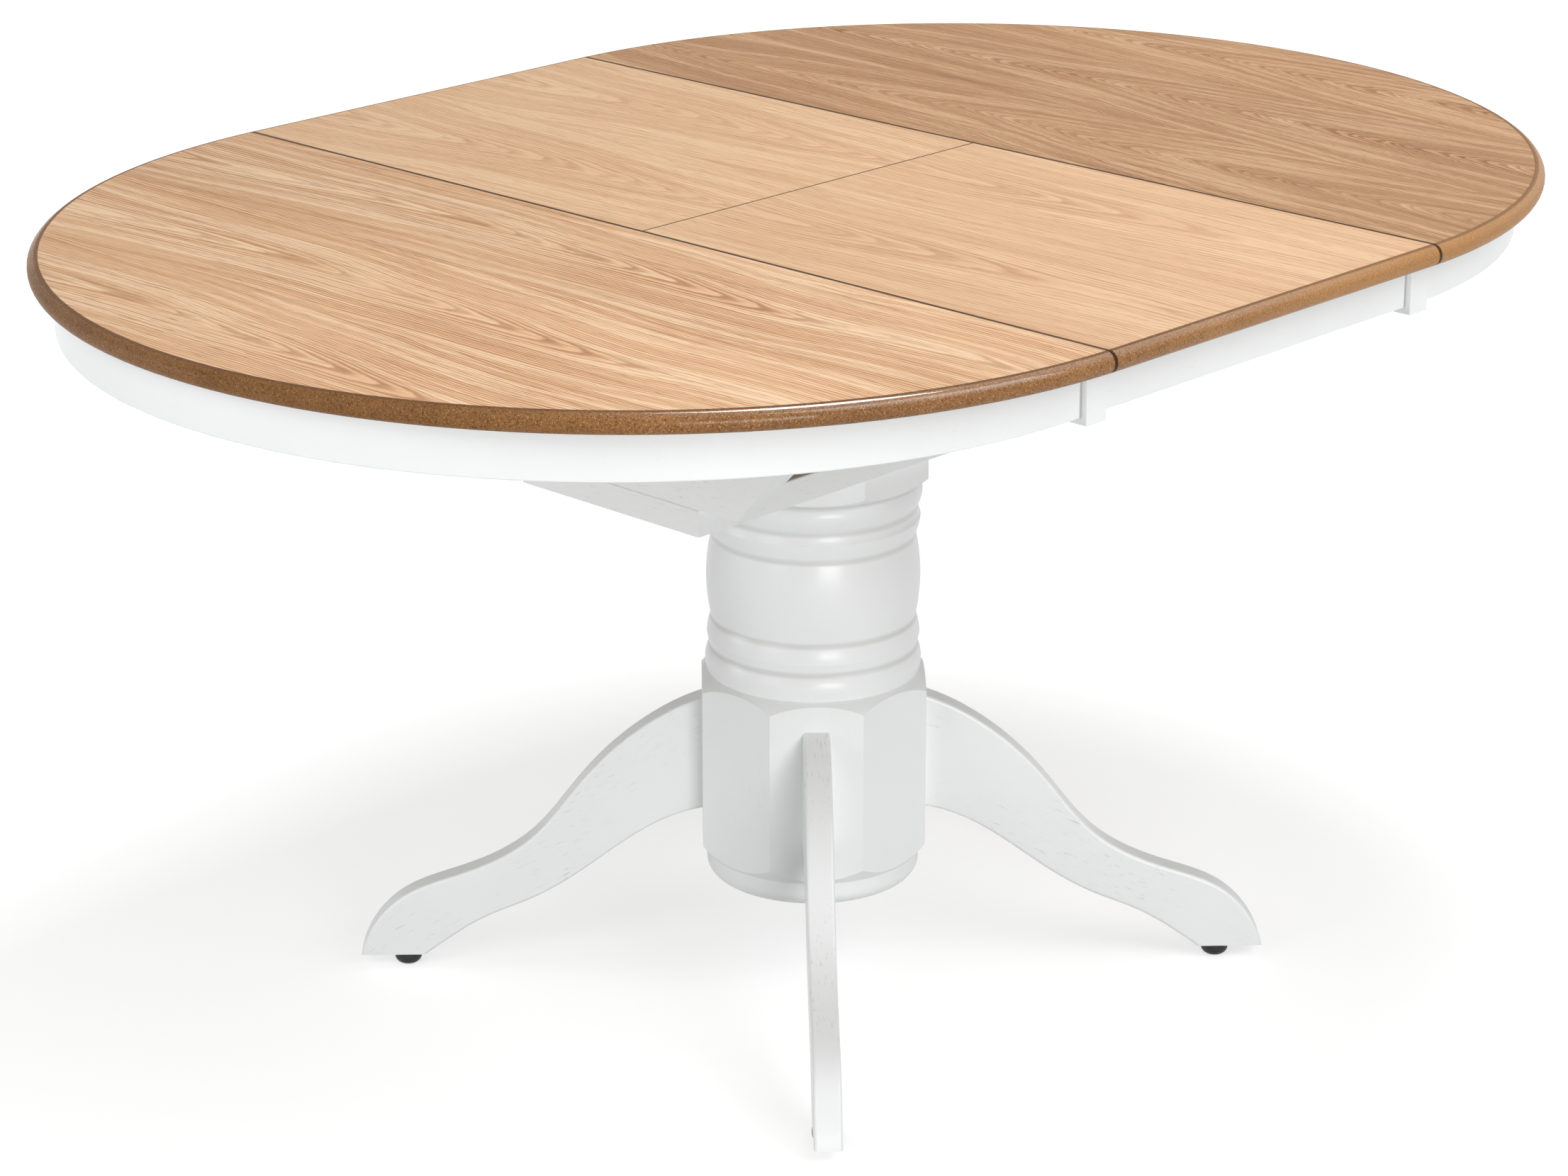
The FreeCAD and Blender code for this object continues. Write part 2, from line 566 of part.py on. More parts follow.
def pivots():
    """The near panel's pivots: a plate with a pin on each yoke, and a plate with a hole on the leaf."""
    fixed, moving = [], []
    half = "pivot_plate_width / 2"
    y = (f"-pivot_line - {half}", f"-pivot_line + {half}")
    lower = f"{PIVOT_LEVEL} - pivot_plate_reach"
    seat = f"({YOKE_INNER})"
    leaf_plate = "(leaf_half_length - pivot_inset - pivot_plate)"
    for hand, sign in (("left", "-"), ("right", "")):
        x = ordered(f"{sign}({seat} - pivot_plate)", f"{sign}{seat}")
        plate = box(f"{hand}_pivot_seat", x, y, (lower, f"{UNDERSIDE} - yoke_clear"))
        pin_from, pin_to = ordered(f"{sign}({leaf_plate} - pivot_plate)", f"{sign}({seat} - pivot_plate)")
        pin = rod(f"{hand}_pivot_pin", (pin_from, "-pivot_line", PIVOT_LEVEL), "pivot_pin_radius",
                  f"({pin_to}) - ({pin_from})", X_AXIS)
        fixed.append(fuse(f"{hand}_pivot_fixed", plate, pin))
        x = ordered(f"{sign}{leaf_plate}", f"{sign}({leaf_plate} + pivot_plate)")
        wall = box(f"{hand}_pivot_wall", x, y, (lower, UNDERSIDE))
        inward = ordered(f"{sign}({leaf_plate} - pivot_foot)", f"{sign}{leaf_plate}")
        foot = box(f"{hand}_pivot_foot", inward, y, (f"{UNDERSIDE} - pivot_plate", UNDERSIDE))
        hole = rod(f"{hand}_pivot_hole", (f"({x[0]}) - over_cut", "-pivot_line", PIVOT_LEVEL),
                   "pivot_pin_radius + running_fit", "pivot_plate + 2 * over_cut", X_AXIS)
        moving.append(cut(f"{hand}_pivot_moving", fuse(f"{hand}_pivot_angle", wall, foot), hole))
    node(group("pivots_fixed", fixed), "leaf_pivot_pins")
    node(group("pivots_moving", moving), "leaf_pivot_brackets")


# ---- seam catches ----

def seam_catch(hand, place_name, turned):
    """A swinging lever under a half top, and its keeper under the leaf."""
    line = "-catch_line"
    x_pin = f"-{LEVER_LINE}"
    half = "catch_width / 2"
    plate = box(f"{hand}_catch_plate", (f"{x_pin} - {half}", f"{x_pin} + {half}"),
                (f"{line} - {half}", f"{line} + {half}"), (f"{UNDERSIDE} - catch_plate", UNDERSIDE), turned)
    lever_foot = f"{LEVER_TOP} - catch_plate"
    flange_top = f"({lever_foot} - catch_gap)"
    pin = rod(f"{hand}_catch_pin", (x_pin, line, f"{flange_top} - catch_plate / 2"), "catch_pin_radius",
              f"{UNDERSIDE} - catch_plate - {flange_top} + catch_plate / 2", turned=turned)
    flange = rod(f"{hand}_catch_flange", (x_pin, line, f"{flange_top} - catch_plate / 2"),
                 "catch_pin_radius + catch_flange", "catch_plate / 2", turned=turned)
    node(fuse(f"{hand}_catch_base", plate, pin, flange), f"catch_plate_{hand}")
    arm = box(f"{hand}_lever_arm", (f"{x_pin} - {half}", f"{x_pin} + {half}"), (line, f"{line} + catch_reach"),
              (lever_foot, LEVER_TOP), turned)
    boss = rod(f"{hand}_lever_boss", (x_pin, line, lever_foot), half, "catch_plate", turned=turned)
    hole = rod(f"{hand}_lever_hole", (x_pin, line, f"{lever_foot} - over_cut"), "catch_pin_radius + running_fit",
               "catch_plate + 2 * over_cut", turned=turned)
    blank = fuse(f"{hand}_lever_blank", arm, boss)
    node(cut(f"{hand}_lever", blank, hole), f"catch_lever_{hand}")
    x = ("-leaf_half_length + keeper_inset", "-leaf_half_length + keeper_inset + keeper_length")
    y = (f"{line} - keeper_width / 2", f"{line} + keeper_width / 2")
    drop = f"({lever_foot} - keeper_room)"
    block = box(f"{place_name}_keeper_block", x, y, (f"{drop} - catch_plate", UNDERSIDE), turned)
    reach = f"-{LEVER_LINE} + catch_reach + keeper_room"
    room = box(f"{place_name}_keeper_space", (f"{x[0]} - over_cut", reach),
               (f"{y[0]} - over_cut", f"{y[1]} + over_cut"),
               (drop, f"{UNDERSIDE} - catch_plate / 2"), turned)
    node(cut(f"{place_name}_keeper", block, room), f"catch_keeper_{place_name}")


# ---- stand's top frame ----

def top_frame():
    z = ("frame_level", FRAME_TOP)
    for hand, place_name, turned in (("left", "near", False), ("right", "far", True)):
        end = box(f"{hand}_end", (f"-{FRAME_END}", f"-{YOKE_INNER}"),
                  ("-frame_half_width", "frame_half_width"), z, turned)
        foot, outer = number("frame_level"), number(FRAME_END)
        node(soften(f"{hand}_end_soft", end, "frame_soften",
                    lambda edge: not along(edge, Z_AXIS) and (
                        abs(middle(edge).z - foot) < 0.01 or abs(abs(middle(edge).x) - outer) < 0.01)),
             f"frame_end_{hand}")
        long_board = box(f"{place_name}_long", (f"-{YOKE_INNER}", YOKE_INNER),
                         ("-frame_half_width", "-frame_half_width + frame_board"), z, turned)
        node(soften(f"{place_name}_long_soft", long_board, "frame_soften", lambda edge: along(edge, X_AXIS)),
             f"frame_side_{place_name}")
    inner = "(frame_half_width - frame_board)"
    block = box("block_blank", ("-block_half", "block_half"), (f"-{inner}", inner), z)
    bolts, holes = [], []
    for index, (x, y) in enumerate(((-1, -1), (-1, 1), (1, -1), (1, 1))):
        head_foot = (f"{x} * column_bolt_spread", f"{y} * column_bolt_spread", FRAME_TOP)
        tip = (head_foot[0], head_foot[1], f"{FRAME_TOP} - column_bolt_length")
        shank = rod(f"column_bolt_shank_{index}", tip, "column_bolt_radius", "column_bolt_length")
        head = rod(f"column_bolt_head_{index}", head_foot, "column_bolt_head", "column_bolt_head_height")
        bolts.append(fuse(f"column_bolt_{index}", shank, head))
        holes.append(rod(f"column_bolt_hole_{index}", tip, "column_bolt_radius + screw_play",
                         "column_bolt_length"))
    node(cut("block_drilled", block, *holes), "column_top_block")
    node(group("bolts", bolts), "column_bolts")
    return holes


def yoke_shape():
    """A board across the frame's end: sloping ends, shoulders for the rails, and a high middle."""
    rise = number(f"{RAIL_FOOT} - {FRAME_TOP}")
    foot = number("yoke_foot")
    shoulder = number("rail_line + yoke_past_rail")
    ear = number(f"rail_line - {SIDE_FAR} - ear_gap")
    high = number(f"{UNDERSIDE} - yoke_clear - {FRAME_TOP}")
    half = [(foot, 0), (shoulder, rise), (ear, rise), (ear, high)]
    outline = half + [(-y, z) for y, z in reversed(half)]
    wire = Part.makePolygon([FreeCAD.Vector(0, y, z) for y, z in outline + outline[:1]])
    board = Part.Face(wire).extrude(FreeCAD.Vector(number("frame_board"), 0, 0))
    # The outer face's lower edge is rounded, and makes a groove with the frame's rounded edge below it.
    lower = [edge for edge in board.Edges if abs(middle(edge).x) < 0.01 and abs(middle(edge).z) < 0.01]
    return board.makeFillet(number("frame_soften"), lower)


def yokes():
    for hand, turned in (("left", False), ("right", True)):
        board = solid(f"{hand}_yoke", yoke_shape())
        node(place(board, f"-{FRAME_END}", 0, FRAME_TOP, turned), f"yoke_{hand}")


# ---- column ----

def turned_blank():
    """The column as it leaves the lathe: mouldings between oversize ends that get their eight sides later."""
    corner = BLANK_OVERSIZE / math.cos(math.radians(22.5))
    band_corner = number("band_flat") * corner
    octagon_corner = number("octagon_flat") * corner
    level = number("frame_level")
    edges = []
    here = FreeCAD.Vector(band_corner, 0, level)

    def line_to(radius, height):
        nonlocal here
        there = FreeCAD.Vector(radius, 0, height)
        edges.append(Part.LineSegment(here, there).toShape())
        here = there

    def bulge_to(radius, height, belly):
        """A round moulding down to radius and height, through belly at its middle."""
        nonlocal here
        there = FreeCAD.Vector(radius, 0, height)
        through = FreeCAD.Vector(belly, 0, (here.z + height) / 2)
        edges.append(Part.Arc(here, through, there).toShape())
        here = there

    level -= number("band_height")
    line_to(band_corner, level + number("band_bevel"))
    line_to(number("band_lip"), level)
    line_to(number("bead_end"), level)
    for height, end, belly in MOULDINGS:
        level -= number(height)
        if belly:
            bulge_to(number(end), level, number(belly))
        else:
            line_to(number(end), level)
    level -= number("shoulder_height")
    bulge_to(octagon_corner, level, (here.x + octagon_corner) / 2 + number("shoulder_bulge"))
    foot = number("column_foot")
    line_to(octagon_corner, foot + number("foot_bevel"))
    line_to(number("octagon_flat - foot_inset"), foot)
    line_to(0, foot)
    line_to(0, number("frame_level"))
    line_to(band_corner, number("frame_level"))
    return Part.Face(Part.Wire(edges)).revolve(FreeCAD.Vector(), Z_AXIS, 360)


def eight_sided(name, flat, low, high):
    """An eight-sided prism with faces towards X, Y and the four legs."""
    outline = doc.addObject("Part::RegularPolygon", name + "_outline")
    outline.Polygon = 8
    bind(outline, Circumradius=f"({flat}) / cos(22.5)")
    place(outline, 0, 0, low, spin=FreeCAD.Rotation(Z_AXIS, 22.5))
    prism = doc.addObject("Part::Extrusion", name)
    prism.Base = outline
    prism.Dir = Z_AXIS
    prism.Solid = True
    bind(prism, LengthFwd=f"({high}) - ({low})")
    return prism


def leg_spoke(name, angle, level, radius):
    """A hanger bolt's cylinder, across the joint of the column and the leg at that angle."""
    start = "(octagon_flat - leg_bolt_half)"
    obj = rod(name, (f"{start} * cos({angle})", f"{start} * sin({angle})", level), radius,
              "2 * leg_bolt_half", X_AXIS)
    obj.Placement.Rotation = FreeCAD.Rotation(Z_AXIS, angle).multiply(obj.Placement.Rotation)
    return obj


def column(bolt_holes):
    blank = solid("column_turned", turned_blank())
    waist = "(frame_level - band_height)"
    sides = fuse("column_sides", eight_sided("column_band", "band_flat", waist, "frame_level"),
                 eight_sided("column_octagon", "octagon_flat", "column_foot", waist))
    shaped = doc.addObject("Part::MultiCommon", "column_shaped")
    shaped.Shapes = [blank, sides]
    leg_holes = [leg_spoke(f"column_leg_hole_{hand}_{level}", angle, level, "leg_bolt_radius + screw_play")
                 for hand, angle in LEG_ANGLES.items() for level in BOLT_LEVELS]
    node(cut("column_drilled", shaped, *bolt_holes, *leg_holes), "pedestal_column")
    disc = rod("disc_blank", (0, 0, DISC_FOOT), "disc_radius", "disc_height")
    foot = number(DISC_FOOT)
    node(soften("disc_soft", disc, "disc_round", lambda edge: is_round(edge) and middle(edge).z < foot + 0.01),
         "pedestal_base_disc")


# ---- legs ----

def leg_shape():
    """A leg in its own frame: X outwards from the column's axis, cut from one flat board."""
    root, reach = number("octagon_flat"), number("leg_reach")
    top, bottom, sole = number("leg_root_top"), number("leg_root_bottom"), number("sole_height")
    heel = reach - number("foot_length")
    # Shares of the run outwards and of the drop, from the root to the foot.
    back_line = [(0, 1), (0.14, 0.915), (0.35, 0.68), (0.5, 0.456), (0.695, 0.322), (0.885, 0.222),
                 (0.969, 0.103), (1, 0)]
    belly_line = [(0, 1), (0.265, 0.793), (0.435, 0.573), (0.614, 0.383), (0.788, 0.25), (0.913, 0.113), (1, 0)]

    def curve(shares, end, high):
        points = [FreeCAD.Vector(root + run * (end - root), 0, sole + drop * (high - sole))
                  for run, drop in shares]
        spline = Part.BSplineCurve()
        spline.interpolate(points)
        return spline.toShape(), points[0], points[-1]

    back, back_root, back_foot = curve(back_line, reach, top)
    belly, belly_root, belly_foot = curve(belly_line, heel, bottom)
    sole_edge = Part.LineSegment(back_foot, belly_foot).toShape()
    root_edge = Part.LineSegment(belly_root, back_root).toShape()
    outline = Part.Wire(Part.__sortEdges__([back, sole_edge, belly, root_edge]))
    half = number("leg_thickness") / 2
    board = Part.Face(outline).extrude(FreeCAD.Vector(0, 2 * half, 0))
    board.translate(FreeCAD.Vector(0, -half, 0))
    soft = [edge for edge in board.Edges
            if abs(abs(middle(edge).y) - half) < 0.01 and isinstance(edge.Curve, Part.BSplineCurve)]
    return board.makeFillet(number("leg_soften"), soft)


def legs():
    leg_blank = solid("leg_blank", leg_shape())
    glide_line = "(leg_reach - glide_setback)"
    tools = [rod(f"leg_hole_{level}", ("octagon_flat - over_cut", 0, level), "leg_bolt_radius + screw_play",
                 "leg_bolt_half + over_cut", X_AXIS) for level in BOLT_LEVELS]
    tools.append(rod("leg_nail_hole", (glide_line, 0, "nail_level"), "nail_radius + screw_play",
                     "nail_length"))
    bolts, glides, nails = [], [], []
    for hand, angle in LEG_ANGLES.items():
        leg = cut(f"leg_{hand}_drilled", leg_blank, *tools)
        leg.Placement.Rotation = FreeCAD.Rotation(Z_AXIS, angle)
        node(leg, f"leg_{hand}")
        bolts += [leg_spoke(f"bolt_{hand}_{level}", angle, level, "leg_bolt_radius") for level in BOLT_LEVELS]
        spot = (f"{glide_line} * cos({angle})", f"{glide_line} * sin({angle})")
        glide_rod = rod(f"glide_{hand}_rod", (*spot, 0), "glide_radius", "sole_height")
        button = soften(f"glide_{hand}_button", glide_rod, "glide_round",
                        lambda edge: is_round(edge) and middle(edge).z < 0.01)
        bore = rod(f"glide_{hand}_bore", (*spot, "nail_level"), "nail_radius + screw_play", "sole_height")
        glides.append(cut(f"glide_{hand}", button, bore))
        nails.append(rod(f"nail_{hand}", (*spot, "nail_level"), "nail_radius", "nail_length"))
    node(group("bolts_of_legs", bolts), "leg_hanger_bolts")
    node(group("glides_of_legs", glides), "foot_glides")
    node(group("nails_of_glides", nails), "glide_nails")


# ---- the table ----

for hand, turned in (("left", False), ("right", True)):
    half_top(hand, turned)
    half_apron(hand, turned)
    rail_screws(hand, turned)
for place_name, turned in (("near", False), ("far", True)):
    leaf_panel(place_name, turned)
    leaf_apron(place_name, turned)
pins = [centre_rail("near", False), centre_rail("far", True)]
node(group("pins", pins), "pinion_pins")
for place_name, turned in (("near", False), ("far", True)):
    pinion = solid(f"pinion_{place_name}_gear", pinion_shape())
    place(pinion, 0, "-rail_line", f"{RACK_FOOT} + gear_play", turned)
    node(pinion, f"pinion_{place_name}")
# A left half carries the outer rail on the near side and the inner one on the far side.
for hand, turned in (("left", False), ("right", True)):
    beside, across = ("near", "far") if hand == "left" else ("far", "near")
    side_rail(hand, beside, -1, True, turned)
    rack(hand, beside, -1, True, turned)
    side_rail(hand, across, 1, False, turned)
    rack(hand, across, 1, False, turned)
pivots()
seam_catch("left", "near", False)
seam_catch("right", "far", True)
column(top_frame())
yokes()
legs()

doc.recompute()
for obj in doc.Objects:
    if "Invalid" in obj.State or "Error" in obj.State:
        raise RuntimeError(f"{obj.Name} did not build: {obj.State}")
for name, obj in NODES.items():
    if obj.Shape.isNull() or not obj.Shape.isValid():
        raise RuntimeError(f"{name} is not a valid shape")

os.makedirs("parts", exist_ok=True)
for name, obj in NODES.items():
    obj.Shape.exportStep(f"parts/{name}.step")
print(len(NODES), "nodes")
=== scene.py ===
import math

import bpy
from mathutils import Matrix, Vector

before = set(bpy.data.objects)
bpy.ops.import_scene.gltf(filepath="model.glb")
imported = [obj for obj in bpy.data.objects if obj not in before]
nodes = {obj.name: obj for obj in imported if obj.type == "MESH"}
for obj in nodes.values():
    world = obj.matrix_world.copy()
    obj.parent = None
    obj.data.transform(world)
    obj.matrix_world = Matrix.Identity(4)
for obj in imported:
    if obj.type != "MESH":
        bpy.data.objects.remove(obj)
bpy.context.scene.view_settings.view_transform = "Standard"
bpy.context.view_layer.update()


# ---- camera, light and stage ----

PHOTO_WIDTH = 2212
FOCAL_PIXELS = 6090
SENSOR = 36
CAMERA_PLACE = (-2.757, -2.578, 1.734)
CAMERA_YAW = 43.49
CAMERA_PITCH = -19.80
FAR_CLIP = 60

WORLD_LEVEL = 0.10
# name, place, what it points at, size, power in watts
LAMPS = (
    ("overhead", (0.70, -0.1, 3.7), (0.70, -0.1, 0.76), (1.2, 1.0), 50),
    ("key", (0.4, -2.9, 2.8), (0, 0, 0.4), (3.0, 2.4), 58),
    ("front", (-3.2, -5.6, 0.8), (0, 0, 0.4), (2.6, 1.6), 152),
    ("left", (-3.7, 0.1, 1.1), (0, 0, 0.5), (1.6, 1.4), 20),
    ("back", (-2.6, 2.4, 0.9), (0, 0, 0.4), (1.4, 1.0), 20),
    ("window", (-3.0, -0.3, 2.8), (0, 0, 0.5), (1.6, 1.4), 22),
)

FLOOR_SIZE = 50
FLOOR_GREY = 0.62
GLOW_START, GLOW_END = 0.5, 2.4   # distances from the middle between which the floor's seen glow rises
GLOW_NEAR, GLOW_FAR = 0.66, 1.0   # its level up to the first distance, and from the second one on


def direction(yaw, pitch):
    """A unit vector: yaw from +X towards +Y, pitch above the floor, in degrees."""
    turn, rise = math.radians(yaw), math.radians(pitch)
    return Vector((math.cos(turn) * math.cos(rise), math.sin(turn) * math.cos(rise), math.sin(rise)))


def make_camera():
    data = bpy.data.cameras.new("camera")
    data.sensor_width = SENSOR
    data.lens = SENSOR * FOCAL_PIXELS / PHOTO_WIDTH
    data.clip_end = FAR_CLIP
    camera = bpy.data.objects.new("camera", data)
    camera.location = CAMERA_PLACE
    camera.rotation_euler = direction(CAMERA_YAW, CAMERA_PITCH).to_track_quat("-Z", "Y").to_euler()
    bpy.context.scene.collection.objects.link(camera)
    bpy.context.scene.camera = camera


def make_lamp(name, place, target, size, energy):
    data = bpy.data.lights.new(name, "AREA")
    data.shape = "RECTANGLE"
    data.size, data.size_y = size
    data.energy = energy
    lamp = bpy.data.objects.new(name, data)
    lamp.location = place
    lamp.rotation_euler = (Vector(target) - Vector(place)).to_track_quat("-Z", "Y").to_euler()
    bpy.context.scene.collection.objects.link(lamp)


def seen_share(tree):
    """1 for camera, glossy and transmission rays, which see the white background, and 0 for the rest."""
    path = tree.nodes.new("ShaderNodeLightPath")
    total = path.outputs["Is Camera Ray"]
    for name in ("Is Glossy Ray", "Is Transmission Ray"):
        add = tree.nodes.new("ShaderNodeMath")
        add.operation = "MAXIMUM"
        tree.links.new(total, add.inputs[0])
        tree.links.new(path.outputs[name], add.inputs[1])
        total = add.outputs[0]
    return total


def make_world():
    """A dim world for the light, which the camera and reflections see as white."""
    world = bpy.data.worlds.new("studio")
    bpy.context.scene.world = world
    world.use_nodes = True
    tree = world.node_tree
    tree.nodes.clear()
    output = tree.nodes.new("ShaderNodeOutputWorld")
    mix = tree.nodes.new("ShaderNodeMixShader")
    lit = tree.nodes.new("ShaderNodeBackground")
    lit.inputs["Color"].default_value = (1, 1, 1, 1)
    lit.inputs["Strength"].default_value = WORLD_LEVEL
    seen = tree.nodes.new("ShaderNodeBackground")
    seen.inputs["Color"].default_value = (1, 1, 1, 1)
    seen.inputs["Strength"].default_value = 1
    tree.links.new(seen_share(tree), mix.inputs["Fac"])
    tree.links.new(lit.outputs[0], mix.inputs[1])
    tree.links.new(seen.outputs[0], mix.inputs[2])
    tree.links.new(mix.outputs[0], output.inputs["Surface"])


def make_floor():
    """A white floor that keeps the table's shadow."""
    bpy.ops.mesh.primitive_plane_add(size=FLOOR_SIZE, location=(0, 0, 0))
    floor = bpy.context.active_object
    floor.name = "floor"
    paint = bpy.data.materials.new("floor_white")
    paint.use_nodes = True
    tree = paint.node_tree
    tree.nodes.clear()
    output = tree.nodes.new("ShaderNodeOutputMaterial")
    diffuse = tree.nodes.new("ShaderNodeBsdfDiffuse")
    diffuse.inputs["Color"].default_value = (FLOOR_GREY, FLOOR_GREY, FLOOR_GREY, 1)
    glow = tree.nodes.new("ShaderNodeEmission")
    glow.inputs["Color"].default_value = (1, 1, 1, 1)
    # The seen floor glows more away from the table, where the lamps light it less.
    place = tree.nodes.new("ShaderNodeTexCoord")
    distance = tree.nodes.new("ShaderNodeVectorMath")
    distance.operation = "LENGTH"
    level = tree.nodes.new("ShaderNodeMapRange")
    level.interpolation_type = "SMOOTHSTEP"
    level.inputs["From Min"].default_value = GLOW_START
    level.inputs["From Max"].default_value = GLOW_END
    level.inputs["To Min"].default_value = GLOW_NEAR
    level.inputs["To Max"].default_value = GLOW_FAR
    strength = tree.nodes.new("ShaderNodeMath")
    strength.operation = "MULTIPLY"
    tree.links.new(place.outputs["Object"], distance.inputs[0])
    tree.links.new(distance.outputs["Value"], level.inputs["Value"])
    tree.links.new(level.outputs["Result"], strength.inputs[1])
    add = tree.nodes.new("ShaderNodeAddShader")
    tree.links.new(seen_share(tree), strength.inputs[0])
    tree.links.new(strength.outputs[0], glow.inputs["Strength"])
    tree.links.new(diffuse.outputs[0], add.inputs[0])
    tree.links.new(glow.outputs[0], add.inputs[1])
    tree.links.new(add.outputs[0], output.inputs["Surface"])
    floor.data.materials.append(paint)


# ---- material building blocks ----

def srgb(red, green, blue):
    """Linear colour of an 8-bit screen colour."""
    def linear(value):
        share = value / 255
        return share / 12.92 if share <= 0.04045 else ((share + 0.055) / 1.055) ** 2.4
    return (linear(red), linear(green), linear(blue), 1)


class Finish:
    """A material under construction: short names for the nodes that it is made of."""

    def __init__(self, name, **settings):
        self.material = bpy.data.materials.new(name)
        self.material.use_nodes = True
        self.tree = self.material.node_tree
        self.shader = self.tree.nodes["Principled BSDF"]
        for socket, value in settings.items():
            self.shader.inputs[socket.replace("_", " ")].default_value = value
        self.place = self.node("ShaderNodeTexCoord").outputs["Object"]

    def node(self, kind, **properties):
        made = self.tree.nodes.new(kind)
        for name, value in properties.items():
            setattr(made, name, value)
        return made

    def join(self, value, socket):
        """Links an output to a socket, or sets the socket to a plain value."""
        if isinstance(value, bpy.types.NodeSocket):
            self.tree.links.new(value, socket)
        else:
            socket.default_value = value

    def math(self, operation, *values):
        made = self.node("ShaderNodeMath", operation=operation)
        for value, socket in zip(values, made.inputs):
            self.join(value, socket)
        return made.outputs[0]

    def axes(self, vector=None):
        made = self.node("ShaderNodeSeparateXYZ")
        self.join(vector or self.place, made.inputs[0])
        return made.outputs[0], made.outputs[1], made.outputs[2]

    def vector(self, x, y, z):
        made = self.node("ShaderNodeCombineXYZ")
        for value, socket in zip((x, y, z), made.inputs):
            self.join(value, socket)
        return made.outputs[0]

    def noise(self, vector, scale, detail=2.0, roughness=0.5):
        made = self.node("ShaderNodeTexNoise", noise_dimensions="3D")
        self.join(vector, made.inputs["Vector"])
        made.inputs["Scale"].default_value = scale
        made.inputs["Detail"].default_value = detail
        made.inputs["Roughness"].default_value = roughness
        return made.outputs["Fac"]

    def cells(self, vector, scale):
        made = self.node("ShaderNodeTexVoronoi", feature="F1")
        self.join(vector, made.inputs["Vector"])
        made.inputs["Scale"].default_value = scale
        return made.outputs["Distance"]

    def random(self, value):
        made = self.node("ShaderNodeTexWhiteNoise", noise_dimensions="1D")
        self.join(value, made.inputs["W"])
        return made.outputs["Value"], made.outputs["Color"]

    def span(self, value, low, high, to_low=0.0, to_high=1.0, smooth=True):
        """value from low to high becomes to_low to to_high, and stops there."""
        made = self.node("ShaderNodeMapRange", interpolation_type="SMOOTHSTEP" if smooth else "LINEAR")
        self.join(value, made.inputs["Value"])
        made.inputs["From Min"].default_value = low
        made.inputs["From Max"].default_value = high
        made.inputs["To Min"].default_value = to_low
        made.inputs["To Max"].default_value = to_high
        return made.outputs["Result"]

    def blend(self, share, first, second, kind="MIX"):
        made = self.node("ShaderNodeMix", data_type="RGBA", blend_type=kind)
        self.join(share, made.inputs["Factor"])
        self.join(first, made.inputs[6])
        self.join(second, made.inputs[7])
        return made.outputs[2]

    def bump(self, height, distance, strength, under=None):
        made = self.node("ShaderNodeBump")
        self.join(height, made.inputs["Height"])
        made.inputs["Distance"].default_value = distance
        made.inputs["Strength"].default_value = strength
        if under is not None:
            self.join(under, made.inputs["Normal"])
        return made.outputs["Normal"]

    def done(self, colour, roughness, normal):
        self.join(colour, self.shader.inputs["Base Color"])
        self.join(roughness, self.shader.inputs["Roughness"])
        self.join(normal, self.shader.inputs["Normal"])
        return self.material

    def along(self, axes, scales):
        """The axes, each stretched by a scale of its own."""
        return [self.math("MULTIPLY", axis, scale) for axis, scale in zip(axes, scales)]


# ---- finishes ----

SEAM_X = 0.2182   # the seams between the halves and the leaf, each side of the middle
SEAM_LINE = (0.0016, 0.0024)   # from a seam, where its dark line starts to fade and where it has gone
LEAF_LINE = (0.0006, 0.0012)   # the same for the line between the two leaf boards
ARC_MIDDLE_X = 0.2124   # the middle of each half's arc
VENEER_REACH = 0.5207   # how far the veneer reaches from there, up to the board's rounded edge
RIM_START, RIM_END = 0.0009, 0.0002   # in from the veneer's end, where its rim starts and is darkest
BORDER = srgb(46, 24, 8)
# Light and shade painted on the board's edge along the table, lighter in the middle and darker towards
# both ends: from x, to x, share at each, colour.
EDGE_PAINTED_LIGHT = (
    (-0.35, 0.30, 0.0, 0.5, srgb(204, 154, 102)),
    (0.45, 0.74, 0.0, 0.6, srgb(122, 80, 44)),
    (-0.74, -0.55, 0.4, 0.0, srgb(84, 54, 28)),
)
# Shares of the edge's lacquer along x or z: from, to, share at each. This mask paints the highlight's place:
# the lacquer mirrors fully only in the highlight, from x = -0.45 to -0.10 and from z = 0.7575 to 0.7593.
# Elsewhere it is weaker, because there the image of the white surroundings would wash the wood out, so
# those reflections are painted out.
EDGE_LACQUER_AND_HIGHLIGHT = (
    ("z", 0.7540, 0.7575, 0.15, 1.0),
    ("z", 0.7593, 0.7597, 1.0, 0.0),
    ("x", -0.68, -0.45, 0.05, 1.0),
    ("x", -0.10, 0.25, 1.0, 0.2),
)
BOARD_FOOT = (0.7412, 0.7440)   # heights over which the dark foot of the board's edge fades
BOARD_TOP = (0.7591, 0.7597)    # heights over which the edge darkens under the veneer


def seam_line(f, x):
    """1 on the dark line at the two seams across the table, and 0 beside it."""
    return f.span(f.math("ABSOLUTE", f.math("SUBTRACT", f.math("ABSOLUTE", x), SEAM_X)), *SEAM_LINE, 1, 0)


